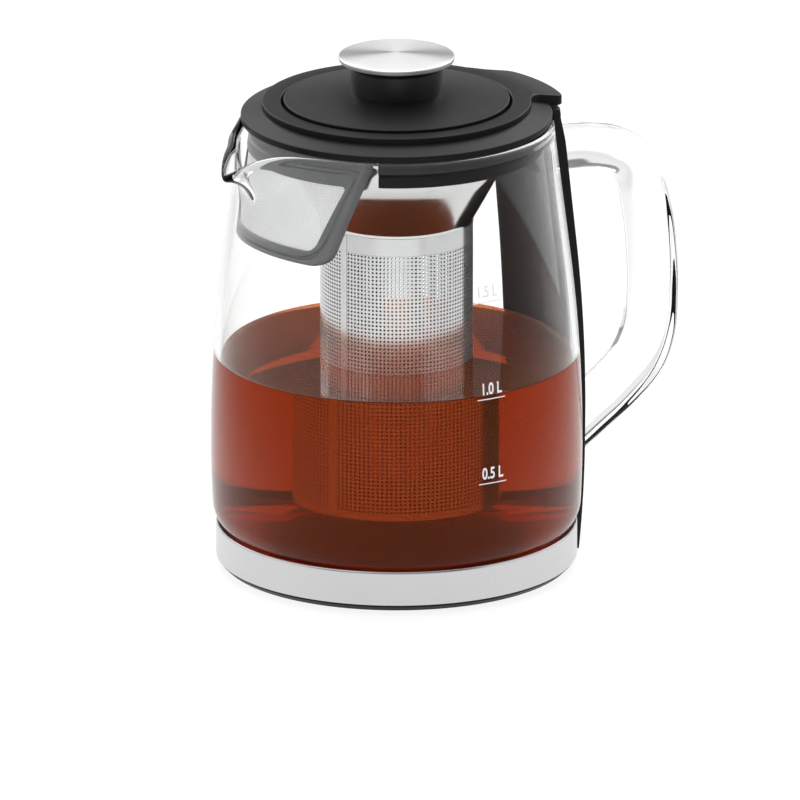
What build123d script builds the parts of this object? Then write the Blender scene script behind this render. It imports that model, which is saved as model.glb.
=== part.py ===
"""Clear jug teapot: glass jug on a banded foot, strap and clear handle, lid with spout filter,
lift-out infuser and inner lid with a knob.

Frame: +Z up, the handle at +X, the spout at -X. The origin is on the jug's axis, on the surface
that it stands on. All sizes are in millimetres.
"""
from build123d import *
import math
import os

os.makedirs("parts", exist_ok=True)

# Jug: the wall is a parabola round the belly and a straight cone above the shoulder
belly_radius = 71.0
belly_height = 50.0
shoulder_height = 124.0
neck_taper = 0.1227
foot_curve = 0.001
rim_height = 176.5
glass_wall = 2.8
glass_floor = 3.5
glass_bottom = 12.5
foot_round = 14.0

# Spout: round sections of a horn that widens upwards, each (height over the rim, radius, reach
# beyond the wall)
spout_sections = [(-34.5, 3.0, -0.6), (-22.5, 9.0, 3.0), (-12.5, 13.5, 13.6), (0.5, 18.0, 27.0)]
spout_least_radius = 0.6
spout_lip_drop = 10.5
spout_fall_inside = 8.0
spout_fall_outside = 20.0

# Strap and handle
strap_half_angle = 22.0
strap_gap = 0.2
strap_top_thickness = 3.8
strap_belly_thickness = 1.9
strap_head_proud = 0.5
strap_head_height = 3.3
strap_over_flange = 0.5
strap_foot_reach = 18.0
strap_foot_thickness = 2.4
strap_foot_inset = 0.5
strap_head_inset_angle = 3.0
handle_width = 22.0
handle_height_per_round = 35.3

# Handle's outer and inner line, each point (reach beyond the belly, height) as shares of the rim's
# height
handle_outer = [(-0.0778, 0.9243), (0.0999, 0.9110), (0.1885, 0.8846), (0.2532, 0.8135), (0.2821, 0.7152),
                (0.2948, 0.6101), (0.2971, 0.5138), (0.2882, 0.4205), (0.2510, 0.3338), (0.1802, 0.2670),
                (0.1066, 0.2171), (-0.0142, 0.1384)]
handle_inner = [(-0.0808, 0.8320), (0.0814, 0.8205), (0.1345, 0.8015), (0.1604, 0.7673), (0.1780, 0.6956),
                (0.1880, 0.6024), (0.1901, 0.5173), (0.1832, 0.4464), (0.1626, 0.3982), (0.1121, 0.3540),
                (0.0463, 0.3110), (-0.0764, 0.2378)]

# Foot
pad_inset = 9.0
pad_thickness = 1.6
collar_inset = 2.0
collar_thickness = 0.7
collar_low = 4.2
collar_top = 17.5
carrier_wall = 1.5
carrier_floor = 4.0
carrier_shoulder = 8.0
carrier_lip = 7.0
carrier_chamfer = 1.8
seal_inset = 16.0
seal_width = 4.5
seal_thickness = 2.0
carrier_screw_radius = 1.5
carrier_screw_head_radius = 2.8
carrier_screw_head_height = 1.6
carrier_screw_length = 7.0
carrier_screw_angle = 12.0
carrier_screw_inset = 12.0
screw_room = 0.5
collar_over_strap = 0.2

# Outer lid
flange_inset = 0.62
flange_edge = 2.5
flange_width = 8.1
flange_rise = 2.5
ring_width = 7.3
step_height = 2.4
ring_seat_depth = 1.8
ledge_thickness = 1.4
skirt_gap = 1.82
skirt_thickness = 2.2
skirt_depth = 11.0
gasket_depth = 5.0
gasket_gap = 0.8
tab_half_width = 19.5
tab_over_rim = 5.6
tab_root = 2.0
tab_drop = 2.8
tab_end_height = 3.6
tab_corner = 3.0

# Spout filter
filter_low_depth = 42.8
filter_low_half_angle = 33.0
filter_top_half_angle = 48.0
filter_thickness = 2.2
filter_gap = 1.4
filter_border = 5.0
filter_corner = 6.0
mesh_thickness = 0.4
mesh_grip = 1.5
filter_side_margin = 4.0

# Infuser
steel = 0.6
tube_radius = 29.2
tube_low = 29.0
tube_steel = 0.5
funnel_low_depth = 38.7
funnel_top_depth = 14.2
funnel_gap = 1.8
funnel_step = 0.4
infuser_rim_width = 1.4
strip_angle = 196.0
strip_width = 3.0
strip_steel = 0.4
strip_top_gap = 1.0

# Inner lid and knob
disc_gap = 0.9
disc_edge_height = 2.5
disc_rise = 4.7
disc_skirt = 1.2
plug_gap = 1.0
plug_depth = 9.7
plug_wall = 2.0
plug_floor = 2.0
plug_groove_depth = 1.8
plug_seal_height = 2.5
plug_seal_low = 2.4
plug_seal_proud = 0.6
neck_radius = 17.5
neck_sunk = 0.6
neck_flare = 3.0
neck_flare_height = 2.0
neck_flare_edge = 0.8
neck_height = 13.1
neck_roof = 2.5
cap_radius = 22.2
cap_edge = 1.9
cap_rise = 1.4
cap_recess = 0.6
knob_screw_radius = 2.0
knob_screw_head_radius = 3.8
knob_screw_head_height = 2.2
knob_screw_stop = 4.0
washer_radius = 5.0
washer_thickness = 0.8

# Clearances: between pieces of one body, and between bodies that come apart
snug = 0.05
seat = 0.3
slip = 0.4

def jug_radius(z):
    """Outer radius of the jug's wall at a height."""
    parabola = neck_taper / (2 * (shoulder_height - belly_height))
    if z < belly_height:
        return belly_radius - foot_curve * (belly_height - z) ** 2
    if z < shoulder_height:
        return belly_radius - parabola * (z - belly_height) ** 2
    shoulder = belly_radius - parabola * (shoulder_height - belly_height) ** 2
    return shoulder - neck_taper * (z - shoulder_height)


# Radii that follow from the jug's
rim_radius = jug_radius(rim_height)
collar_radius = belly_radius - collar_inset
pad_radius = collar_radius - pad_inset
seal_radius = belly_radius - seal_inset
carrier_hollow_radius = seal_radius - carrier_lip
flange_radius = rim_radius - flange_inset
step_radius = flange_radius - flange_width
mouth_radius = step_radius - ring_width
skirt_radius = rim_radius - glass_wall - skirt_gap
tab_reach = rim_radius + tab_over_rim
funnel_radius = mouth_radius - funnel_gap
disc_radius = mouth_radius - disc_gap
plug_radius = funnel_radius - steel - plug_gap
plug_seal_radius = plug_radius + plug_seal_proud

# Heights that follow from the sizes above
flange_low = rim_height + seat
flange_top = flange_low + flange_edge
step_low = flange_top + flange_rise
lid_top = step_low + step_height
ring_seat = step_low - ring_seat_depth
ledge_top = flange_low + ledge_thickness
infuser_rim_low = ledge_top + seat
infuser_rim_top = infuser_rim_low + steel
disc_low = infuser_rim_top + seat
disc_underside = lid_top - disc_edge_height
plug_low = disc_underside - plug_depth
disc_centre_top = lid_top + disc_rise
filter_low = flange_low - filter_low_depth
funnel_low = rim_height - funnel_low_depth
funnel_top = rim_height - funnel_top_depth
strap_low = pad_thickness
strap_top = flange_low + strap_over_flange


def strap_radius(z):
    """Outer radius of the strap at a height: it thins evenly from the rim down to the belly."""
    share = min(1.0, max(0.0, (z - belly_height) / (rim_height - belly_height)))
    thickness = strap_belly_thickness + (strap_top_thickness - strap_belly_thickness) * share
    return jug_radius(z) + strap_gap + thickness


def turned(points):
    """Solid of revolution about the axis from a closed outline of (radius, height) points."""
    return revolve(Plane.XZ * make_face(Polyline(*points, close=True)), Axis.Z)


def curve_through(radius_at, low, high):
    """Smooth line through the points of a radius function between two heights."""
    steps = 10
    heights = [low + (high - low) * i / steps for i in range(steps + 1)]
    return Spline(*[(radius_at(z), z) for z in heights])


def wall_sheet(inner_at, outer_at, low, high, half_angle, middle):
    """Sheet between two radius functions, spread evenly about the angle called middle."""
    inner = curve_through(inner_at, low, high)
    outer = curve_through(outer_at, low, high)
    ends = [Line(inner @ 0, outer @ 0), Line(inner @ 1, outer @ 1)]
    section = Plane.XZ * make_face([inner, outer, *ends])
    return Rot(0, 0, middle - half_angle) * revolve(section, Axis.Z, 2 * half_angle)


def turned_bowl(radius_at, low, high, corner):
    """Solid body of revolution under a radius function, with its lower edge rounded."""
    side = curve_through(radius_at, low, high)
    outline = [side, Line((0, low), side @ 0), Line((0, high), side @ 1), Line((0, low), (0, high))]
    body = revolve(Plane.XZ * make_face(outline), Axis.Z)
    return fillet(body.edges().filter_by(GeomType.CIRCLE).group_by(Axis.Z)[0], corner)


def horn(inset):
    """Inside or outside of the spout, as a loft of circles; inset shrinks it by the wall."""
    circles = []
    for over_rim, radius, reach in spout_sections:
        height = rim_height + over_rim
        centre = jug_radius(height) + reach - radius
        circles.append(Pos(-centre, 0, height) * Circle(max(radius - inset, spout_least_radius)))
    return loft(circles)


def glass_jug():
    """Jug with its spout; the rim falls away towards the lip."""
    above = rim_height + 12
    outside = turned_bowl(jug_radius, glass_bottom, above, foot_round)
    inside = turned_bowl(lambda z: jug_radius(z) - glass_wall, glass_bottom + glass_floor, above,
                         foot_round - glass_wall)
    shell = (outside + horn(0)) - inside - horn(glass_wall)
    lip_start = rim_radius - spout_fall_inside
    lip_end = rim_radius + spout_fall_outside
    fall = Polyline((lip_end, rim_height), (-lip_start, rim_height), (-lip_end, rim_height - spout_lip_drop),
                    (-lip_end - 10, rim_height - spout_lip_drop), (-lip_end - 10, above + 10),
                    (lip_end, above + 10), close=True)
    cut = extrude(Plane.XZ * make_face(fall), 100, both=True)
    return shell - cut


def clear_handle():
    """C-shaped handle with soft edges, its two roots flush with the strap."""
    outer, inner = (Spline(*[(belly_radius + rim_height * reach, rim_height * height)
                             for reach, height in line]) for line in (handle_outer, handle_inner))
    ends = [Line(outer @ 0, inner @ 0), Line(outer @ 1, inner @ 1)]
    bar = extrude(Plane.XZ * make_face([outer, inner, *ends]), handle_width)
    bar = Pos(0, handle_width / 2, 0) * bar
    long_edges = bar.edges().sort_by(SortBy.LENGTH)[-4:]
    bar = fillet(long_edges, rim_height / handle_height_per_round)
    side = curve_through(strap_radius, strap_low, strap_top)
    core = [side, Line((0, strap_low), side @ 0), Line((0, strap_top), side @ 1),
            Line((0, strap_low), (0, strap_top))]
    return bar - revolve(Plane.XZ * make_face(core), Axis.Z)


def screw_places():
    """Angles and radius of the screws through the strap's foot."""
    radius = belly_radius - carrier_screw_inset
    return [(radius, angle) for angle in (-carrier_screw_angle, carrier_screw_angle)]


def at_screws(shape):
    """Copies of a shape at each of the foot's screws."""
    return [Rot(0, 0, angle) * Pos(radius, 0, 0) * shape for radius, angle in screw_places()]


def handle_strap():
    """Strap down the handle side, with a head under the lid's tab and a foot under the dish."""
    band = wall_sheet(lambda z: jug_radius(z) + strap_gap, strap_radius, strap_low, strap_top,
                      strap_half_angle, 0)
    head_low = strap_top - strap_head_height
    head = wall_sheet(lambda z: jug_radius(z) + strap_gap + strap_belly_thickness,
                      lambda z: strap_radius(head_low) + strap_head_proud, head_low, strap_top,
                      strap_half_angle - strap_head_inset_angle, 0)
    foot = wall_sheet(lambda z: belly_radius - strap_foot_reach,
                      lambda z: strap_radius(strap_low) - strap_foot_inset,
                      strap_low, strap_low + strap_foot_thickness, strap_half_angle, 0)
    strap = band + head + foot
    head_hole = Pos(0, 0, pad_thickness) * extrude(Circle(carrier_screw_head_radius + snug),
                                                   carrier_screw_head_height)
    shank_hole = extrude(Circle(carrier_screw_radius + snug), 10)
    for hole in at_screws(head_hole) + at_screws(shank_hole):
        strap -= hole
    return strap


def carrier_screws():
    """Pan-head screws, pointing up from the strap's foot into the dish."""
    head = Pos(0, 0, pad_thickness) * extrude(Circle(carrier_screw_head_radius), carrier_screw_head_height)
    shank = Pos(0, 0, pad_thickness) * extrude(Circle(carrier_screw_radius), carrier_screw_length)
    return Compound(children=[Rot(0, 0, angle) * Pos(radius, 0, 0) * (head + shank)
                              for radius, angle in screw_places()])


def base_carrier():
    """Dish under the glass, hollow in the middle, with a recess for the strap's foot."""
    outer = collar_radius - collar_thickness - snug
    dish = turned([(0, pad_thickness), (outer - carrier_chamfer, pad_thickness),
                   (outer, pad_thickness + carrier_chamfer), (outer, collar_top),
                   (outer - carrier_wall - carrier_shoulder, collar_top),
                   (carrier_hollow_radius, glass_bottom),
                   (carrier_hollow_radius, pad_thickness + carrier_floor),
                   (0, pad_thickness + carrier_floor)])
    glass = turned_bowl(jug_radius, glass_bottom, rim_height, foot_round)
    dish -= Pos(0, 0, -snug * 4) * glass
    dish -= base_seal(snug)
    foot_room = wall_sheet(lambda z: belly_radius - strap_foot_reach - snug, lambda z: belly_radius + 10,
                           pad_thickness - 1, pad_thickness + strap_foot_thickness + snug,
                           strap_half_angle + 0.2, 0)
    dish -= foot_room
    bore = Pos(0, 0, pad_thickness) * extrude(Circle(carrier_screw_radius + snug),
                                              carrier_screw_length + screw_room)
    for hole in at_screws(bore):
        dish -= hole
    return dish


def base_seal(grow=0.0):
    """Flat ring that the glass stands on."""
    low = glass_bottom - seal_thickness
    return turned([(seal_radius - seal_width - grow, low - grow), (seal_radius + grow, low - grow),
                   (seal_radius + grow, glass_bottom), (seal_radius - seal_width - grow, glass_bottom)])


def base_collar():
    """Steel band round the dish."""
    inner = collar_radius - collar_thickness
    low = pad_thickness + strap_foot_thickness + collar_over_strap
    return turned([(inner, low), (collar_radius, low), (collar_radius, collar_top), (inner, collar_top)])


def base_pad():
    """Pad that the jug stands on."""
    return extrude(Circle(pad_radius), pad_thickness)


def filter_blank(inset_in, inset_out, border):
    """Curved panel that follows the inside of the wall, trimmed to a rounded trapezoid."""
    def inner(z):
        return jug_radius(z) - glass_wall - filter_gap - inset_in

    def outer(z):
        return jug_radius(z) - glass_wall - filter_gap - inset_out

    low = filter_low + border
    high = flange_low if border == 0 else flange_low - skirt_depth
    panel = wall_sheet(inner, outer, low, high, filter_top_half_angle + filter_side_margin, 180)
    wide = outer(high) * math.sin(math.radians(filter_top_half_angle)) - border
    narrow = outer(low) * math.sin(math.radians(filter_low_half_angle)) - border
    corners = [(-wide, high + 1), (wide, high + 1), (narrow, low), (-narrow, low)]
    outline = make_face(Polyline(*corners, close=True))
    outline = fillet(outline.vertices().group_by(Axis.Y)[0], max(filter_corner - border / 2, 1))
    return panel & (Pos(-100, 0, 0) * extrude(Plane.YZ * outline, 100))


def filter_frame():
    """Frame of the spout filter, with a window and a slot for the mesh."""
    frame = filter_blank(filter_thickness, 0, 0)
    frame -= filter_blank(filter_thickness + 1, -1, filter_border)
    middle = (filter_thickness - mesh_thickness) / 2
    slot_border = filter_border - mesh_grip - snug
    return frame - filter_blank(middle + mesh_thickness + snug, middle - snug, slot_border)


def filter_mesh():
    """Fine mesh of the spout filter, as a plain sheet."""
    middle = (filter_thickness - mesh_thickness) / 2
    return filter_blank(middle + mesh_thickness, middle, filter_border - mesh_grip)


def lid_ring():
    """Sloping flange, seat for the upper ring, ledge for the infuser, and skirt inside the rim."""
    ledge_radius = funnel_radius + slip
    inner_skirt = skirt_radius - skirt_thickness
    ring = turned([(ledge_radius, flange_low), (inner_skirt, flange_low),
                   (inner_skirt, flange_low - skirt_depth),
                   (skirt_radius, flange_low - skirt_depth), (skirt_radius, flange_low),
                   (flange_radius, flange_low), (flange_radius, flange_top), (step_radius, step_low),
                   (step_radius, ring_seat), (mouth_radius, ring_seat), (mouth_radius, ledge_top),
                   (ledge_radius, ledge_top)])
    wide = filter_top_half_angle + filter_side_margin
    gap = wall_sheet(lambda z: inner_skirt - 1, lambda z: skirt_radius + 1, flange_low - skirt_depth - 1,
                     flange_low, wide, 180)
    return ring - gap


def lid_upper_ring():
    """Raised ring round the mouth, with a tab that reaches out over the strap."""
    outer = step_radius - snug
    ring = turned([(mouth_radius, ring_seat), (outer, ring_seat), (outer, lid_top), (mouth_radius, lid_top)])
    end_top = lid_top - tab_drop
    end_low = end_top - tab_end_height
    clear = flange_radius + slip
    arm = turned([(step_radius - tab_root, lid_top), (step_radius, lid_top),
                  (tab_reach, end_top), (tab_reach, end_low),
                  (clear, end_low), (clear, flange_top + snug), (flange_radius, flange_top + snug),
                  (step_radius, step_low + snug), (step_radius - tab_root, step_low + snug)])
    slot = Pos(tab_reach, 0, lid_top) * Box(2 * tab_reach, 2 * tab_half_width, 60)
    arm = arm & (slot & Pos(tab_reach, 0, lid_top) * Box(2 * tab_reach - 40, 200, 60))
    corners = [edge for edge in arm.edges() if edge.center().X > tab_reach - 6
               and abs(abs(edge.center().Y) - tab_half_width) < 0.2 and edge.length < tab_end_height + 1
               and edge.length > tab_end_height - 0.5]
    if corners:
        arm = fillet(corners, tab_corner)
    return ring + arm


def lid_gasket():
    """Seal round the skirt under the flange, open where the filter hangs."""
    outer = rim_radius - glass_wall - gasket_gap
    return wall_sheet(lambda z: skirt_radius + snug, lambda z: outer, flange_low - gasket_depth, flange_low,
                      180 - filter_top_half_angle - filter_side_margin, 0)


def infuser_funnel():
    """Funnel from the rim down to the tube, with a turned-out edge that hangs on the ledge."""
    low_outer = tube_radius + funnel_step
    top_inner = funnel_radius - steel
    rim_radius = funnel_radius + infuser_rim_width
    return turned([(low_outer - steel, funnel_low), (low_outer, funnel_low), (funnel_radius, funnel_top),
                   (funnel_radius, infuser_rim_low), (rim_radius, infuser_rim_low),
                   (rim_radius, infuser_rim_top), (top_inner, infuser_rim_top),
                   (top_inner, funnel_top + steel / 3)])


def infuser_tube():
    """Tube of the infuser, as a plain wall."""
    inner = tube_radius - tube_steel
    return turned([(inner, tube_low), (tube_radius, tube_low), (tube_radius, funnel_low),
                   (inner, funnel_low)])


def infuser_floor():
    """Floor of the tube."""
    radius = tube_radius - tube_steel - snug
    return Pos(0, 0, tube_low) * extrude(Circle(radius), steel)


def infuser_seam_strip():
    """Plain strip over the tube's seam."""
    half_angle = math.degrees(strip_width / 2 / tube_radius)
    return wall_sheet(lambda z: tube_radius + snug, lambda z: tube_radius + snug + strip_steel, tube_low,
                      funnel_low - strip_top_gap, half_angle, strip_angle)


def disc_surface(radius):
    """Height of the inner lid's domed top at a radius."""
    return disc_centre_top - disc_rise * (radius / disc_radius) ** 2


def inner_lid_disc():
    """Domed cover with a thin skirt that stands on the infuser's rim, and a flat for the knob."""
    flat = disc_surface(neck_radius) - neck_sunk
    steps = 6
    span = disc_radius - neck_radius - snug
    radii = [neck_radius + snug + span * i / steps for i in range(steps + 1)]
    dome = Spline(*[(radius, disc_surface(radius)) for radius in radii])
    inner = disc_radius - disc_skirt
    bore = knob_screw_radius + snug
    rest = Polyline(dome @ 1, (disc_radius, disc_low), (inner, disc_low), (inner, disc_underside),
                    (bore, disc_underside), (bore, flat), (neck_radius + snug, flat), dome @ 0)
    return revolve(Plane.XZ * make_face([dome, *rest.edges()]), Axis.Z)


def seal_heights():
    """Lowest and highest level of the plug's seal."""
    low = plug_low + plug_seal_low
    return low, low + plug_seal_height


def inner_lid_plug():
    """Cup under the disc, with a groove for its seal and a floor for the knob's screw."""
    low, high = seal_heights()
    groove = plug_radius - plug_groove_depth
    inside = groove - plug_wall
    bore = knob_screw_radius + snug
    return turned([(bore, plug_low), (plug_radius, plug_low), (plug_radius, low), (groove, low),
                   (groove, high), (plug_radius, high), (plug_radius, disc_underside),
                   (inside, disc_underside), (inside, plug_low + plug_floor), (bore, plug_low + plug_floor)])


def inner_lid_seal():
    """Silicone ring in the plug's groove."""
    low, high = seal_heights()
    groove = plug_radius - plug_groove_depth + snug
    return turned([(groove, low), (plug_seal_radius, low), (plug_seal_radius, high), (groove, high)])


def knob_heights():
    """Underside of the neck, and the neck's top where the cap sits."""
    low = disc_surface(neck_radius) - neck_sunk
    return low, low + neck_height


def knob_neck():
    """Neck of the knob, flared under the cap, with a blind bore for the screw."""
    low, top = knob_heights()
    bore = knob_screw_radius + snug
    flare = neck_radius + neck_flare
    return turned([(bore, low), (neck_radius, low), (neck_radius, top - neck_flare_height),
                   (flare, top - neck_flare_edge), (flare, top), (0, top),
                   (0, top - neck_roof), (bore, top - neck_roof)])


def knob_cap():
    """Shallow steel dome with a straight edge, set over the neck."""
    low, top = knob_heights()
    edge_low = top - cap_recess
    edge_top = edge_low + cap_edge
    crown = edge_top + cap_rise
    flare = neck_radius + neck_flare + snug
    sphere = (cap_radius ** 2 + cap_rise ** 2) / (2 * cap_rise)
    half = math.asin(cap_radius / sphere) / 2
    dome = ThreePointArc((cap_radius, edge_top),
                         (sphere * math.sin(half), crown - sphere * (1 - math.cos(half))), (0, crown))
    rest = Polyline((0, crown), (0, top), (flare, top), (flare, edge_low), (cap_radius, edge_low),
                    (cap_radius, edge_top))
    return revolve(Plane.XZ * make_face([dome, *rest.edges()]), Axis.Z)


def knob_washer():
    """Washer between the plug and the screw's head."""
    bore = knob_screw_radius + snug
    return turned([(bore, plug_low - washer_thickness), (washer_radius, plug_low - washer_thickness),
                   (washer_radius, plug_low), (bore, plug_low)])


def knob_screw():
    """Screw from below, through plug and disc into the neck."""
    low, top = knob_heights()
    under = plug_low - washer_thickness
    head = under - knob_screw_head_height
    return turned([(0, head), (knob_screw_head_radius, head), (knob_screw_head_radius, under),
                   (knob_screw_radius, under), (knob_screw_radius, top - knob_screw_stop),
                   (0, top - knob_screw_stop)])


nodes = {
    "glass_jug": glass_jug,
    "clear_handle": clear_handle,
    "handle_strap": handle_strap,
    "base_collar": base_collar,
    "base_carrier": base_carrier,
    "base_seal": base_seal,
    "base_pad": base_pad,
    "carrier_screws": carrier_screws,
    "lid_ring": lid_ring,
    "lid_upper_ring": lid_upper_ring,
    "lid_gasket": lid_gasket,
    "spout_filter_frame": filter_frame,
    "spout_filter_mesh": filter_mesh,
    "infuser_funnel": infuser_funnel,
    "infuser_tube": infuser_tube,
    "infuser_seam_strip": infuser_seam_strip,
    "infuser_floor": infuser_floor,
    "inner_lid_disc": inner_lid_disc,
    "inner_lid_plug": inner_lid_plug,
    "inner_lid_seal": inner_lid_seal,
    "knob_neck": knob_neck,
    "knob_cap": knob_cap,
    "knob_washer": knob_washer,
    "knob_screw": knob_screw,
}
for name, make in nodes.items():
    export_step(make(), f"parts/{name}.step")
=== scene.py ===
"""Looks of the clear jug teapot: glass, steel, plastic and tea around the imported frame.

Sizes are in metres, in the frame's axes: +Z up, the handle at +X, the spout at -X.
"""
import math

import bmesh
import bpy
import numpy as np
from bpy.props import FloatProperty, FloatVectorProperty, IntProperty, PointerProperty
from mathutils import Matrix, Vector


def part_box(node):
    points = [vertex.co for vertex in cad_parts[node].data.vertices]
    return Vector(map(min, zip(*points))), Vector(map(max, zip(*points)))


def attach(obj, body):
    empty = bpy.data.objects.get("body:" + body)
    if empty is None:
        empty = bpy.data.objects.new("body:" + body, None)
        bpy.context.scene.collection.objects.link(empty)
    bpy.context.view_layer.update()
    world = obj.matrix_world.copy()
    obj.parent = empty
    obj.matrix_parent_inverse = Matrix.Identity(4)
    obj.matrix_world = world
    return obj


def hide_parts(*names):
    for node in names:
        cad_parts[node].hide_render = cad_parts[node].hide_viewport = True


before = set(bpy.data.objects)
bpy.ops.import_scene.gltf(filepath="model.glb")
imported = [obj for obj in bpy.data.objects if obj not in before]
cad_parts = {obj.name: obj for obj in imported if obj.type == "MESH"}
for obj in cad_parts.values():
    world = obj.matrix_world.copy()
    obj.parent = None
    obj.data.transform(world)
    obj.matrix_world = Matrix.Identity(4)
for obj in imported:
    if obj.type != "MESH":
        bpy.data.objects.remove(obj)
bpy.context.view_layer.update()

bl_info = {
    "name": "Clear jug teapot",
    "version": (1, 0, 0),
    "blender": (4, 5, 0),
    "location": "3D View > Sidebar > Teapot",
    "description": "Builds the visible surfaces of a clear jug teapot around its packed frame",
    "category": "Object",
}

MM = 0.001
FULL_TURN = 2 * math.pi
SPOUT_ANGLE = math.pi
HANDLE_ANGLE = 0.0
MARKS_ANGLE = -math.pi / 2

# Sizes of the frame that its boxes don't give.
LID_BORE = 42.6 * MM       # hole in the flange, round the infuser
LID_MOUTH = 44 * MM        # hole in the raised ring, round the inner lid
LID_STEP = 51.3 * MM       # edge of the raised ring
SPOUT_HEIGHT = 31 * MM     # from the spout's throat up to the rim
CONE_TOP = 162.3 * MM      # where the infuser's funnel turns upright


# ---------------------------------------------------------------- settings

def length_setting(name, description, default):
    """A length in metres, shown in the scene's unit."""
    return FloatProperty(name=name, description=description, default=default, unit="LENGTH")


def angle_setting(name, description, default):
    """An angle in radians, shown in degrees."""
    return FloatProperty(name=name, description=description, default=default, subtype="ANGLE")


def colour_setting(name, description, default):
    """A colour of three linear values."""
    return FloatVectorProperty(name=name, description=description, default=default, subtype="COLOR", size=3,
                               min=0, max=1)


class TEAPOT_PG_jug(bpy.types.PropertyGroup):
    """Sizes of the glass jug."""

    belly_radius: length_setting("Belly radius", "Largest outer radius of the wall", 71 * MM)
    belly_height: length_setting("Belly height", "Height of the largest radius", 50 * MM)
    shoulder_height: length_setting("Shoulder height", "Above this the wall is a straight cone", 124 * MM)
    neck_taper: FloatProperty(name="Neck taper", description="Radius lost per height above the shoulder",
                              default=0.1227)
    foot_curve: FloatProperty(name="Foot curve", description="How fast the wall draws in below the belly",
                              default=1.0)
    wall: length_setting("Wall", "Thickness of the glass", 2.8 * MM)
    floor: length_setting("Floor", "Thickness of the glass floor", 3.5 * MM)
    foot_round: length_setting("Foot rounding", "Radius between wall and floor", 14 * MM)
    lip_push: length_setting("Lip reach", "How far the lip stands out from the rim", 17.2 * MM)
    lip_drop: length_setting("Lip drop", "How far the lip lies under the rim", 10.3 * MM)
    lip_half_angle: angle_setting("Lip half angle", "Where the lip leaves the round rim", math.radians(40))


class TEAPOT_PG_tea(bpy.types.PropertyGroup):
    """Level and colour of the tea."""

    level: length_setting("Level", "Height of the tea's surface", 84 * MM)
    tint: colour_setting("Tint", "Colour that passes through the surface", (0.58, 0.15, 0.03))
    depth_tint: colour_setting("Depth tint", "Colour that a thick layer tends to", (0.74, 0.33, 0.05))
    density: FloatProperty(name="Density", description="How strongly depth darkens the tea", default=30.0)


class TEAPOT_PG_finish(bpy.types.PropertyGroup):
    """Colours of the plastics and marks."""

    lid_colour: colour_setting("Lid colour", "Matte plastic of the lid", (0.008, 0.008, 0.0083))
    strap_colour: colour_setting("Strap colour", "Satin plastic of strap and foot", (0.010, 0.010, 0.011))
    filter_colour: colour_setting("Filter colour", "Plastic of the spout filter's frame",
                                  (0.17, 0.17, 0.173))
    mark_colour: colour_setting("Mark colour", "Print of the fill marks", (0.95, 0.95, 0.95))


class TEAPOT_PG_stage(bpy.types.PropertyGroup):
    """Camera and light."""

    azimuth: angle_setting("Azimuth", "Camera's turn about the jug, 0 looks along +Y", math.radians(-31))
    elevation: angle_setting("Elevation", "Camera's height angle", math.radians(17.4))
    distance: length_setting("Distance", "Camera's distance", 11.0)
    view_width: length_setting("View width", "Width that the picture takes in at the jug", 305.3 * MM)
    aim_height: length_setting("Aim height", "Height that the camera looks at", 64.6 * MM)
    aim_side: length_setting("Aim to the side", "How far right of the axis the camera looks", 1.3 * MM)
    lamp_power: FloatProperty(name="Lamp power", description="Power of each soft lamp", default=6.0)


# ---------------------------------------------------------------- surfaces

def ease(t):
    """0 to 1 with level ends: 3t^2 - 2t^3."""
    t = np.clip(t, 0, 1)
    return t * t * (3 - 2 * t)


def soften(corners, steps=5, closed=True):
    """Outline through corners (x, y, cut): each corner is replaced by a parabola from cut before it
    to cut after it, with one more point on each side so that the flats beside it shade flat."""
    corners = np.asarray(corners, float)
    points = []
    count = len(corners)
    t = np.linspace(0, 1, steps + 1)[:, None]
    for i in range(count):
        here, cut = corners[i, :2], corners[i, 2]
        before, after = corners[i - 1, :2], corners[(i + 1) % count, :2]
        if cut <= 0 or (not closed and i in (0, count - 1)):
            points.append(here[None])
            continue
        back, on = before - here, after - here
        reach = min(cut, 0.45 * np.linalg.norm(back), 0.45 * np.linalg.norm(on))
        back, on = back / np.linalg.norm(back) * reach, on / np.linalg.norm(on) * reach
        bend = here + (1 - t) ** 2 * back + t ** 2 * on
        points += [(here + 1.1 * back)[None], bend, (here + 1.1 * on)[None]]
    return np.concatenate(points)


def lathe(profile, segments=256, start=0.0, sweep=FULL_TURN):
    """Surface of revolution through each (r, z) of the profile, whole or over a sweep."""
    whole = abs(sweep - FULL_TURN) < 1e-9
    angles = start + sweep * np.arange(segments + (not whole)) / segments
    return turned(np.asarray(profile, float), angles)


def smooth_path(stations, count):
    """Catmull-Rom curve through the stations (any number of values each), at evenly spread places."""
    stations = np.asarray(stations, float)
    ends = [2 * stations[0] - stations[1], *stations, 2 * stations[-1] - stations[-2]]
    p = np.asarray(ends)
    place = np.linspace(0, len(stations) - 1 - 1e-9, count)
    i = place.astype(int)
    t = (place - i)[:, None]
    a, b, c, d = p[i], p[i + 1], p[i + 2], p[i + 3]
    square, cube = 2 * a - 5 * b + 4 * c - d, 3 * b - a - 3 * c + d
    return 0.5 * (2 * b + (c - a) * t + square * t ** 2 + cube * t ** 3)


def capped(points, axis=0):
    """Closes a tube of points at both ends: one more row (or column) there, all at the end's middle."""
    first, last = np.take(points, [0], axis), np.take(points, [-1], axis)
    ends = [end.mean(axis=1 - axis, keepdims=True) + 0 * end for end in (first, last)]
    return np.concatenate([ends[0], points, ends[1]], axis=axis)


def turned(profile, angles):
    """Turns a profile (r, z) to the given angles: (r cos a, r sin a, z)."""
    r, z = profile[:, :1], profile[:, 1:]
    return np.stack([r * np.cos(angles), r * np.sin(angles), z + 0 * angles], axis=-1)


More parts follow.
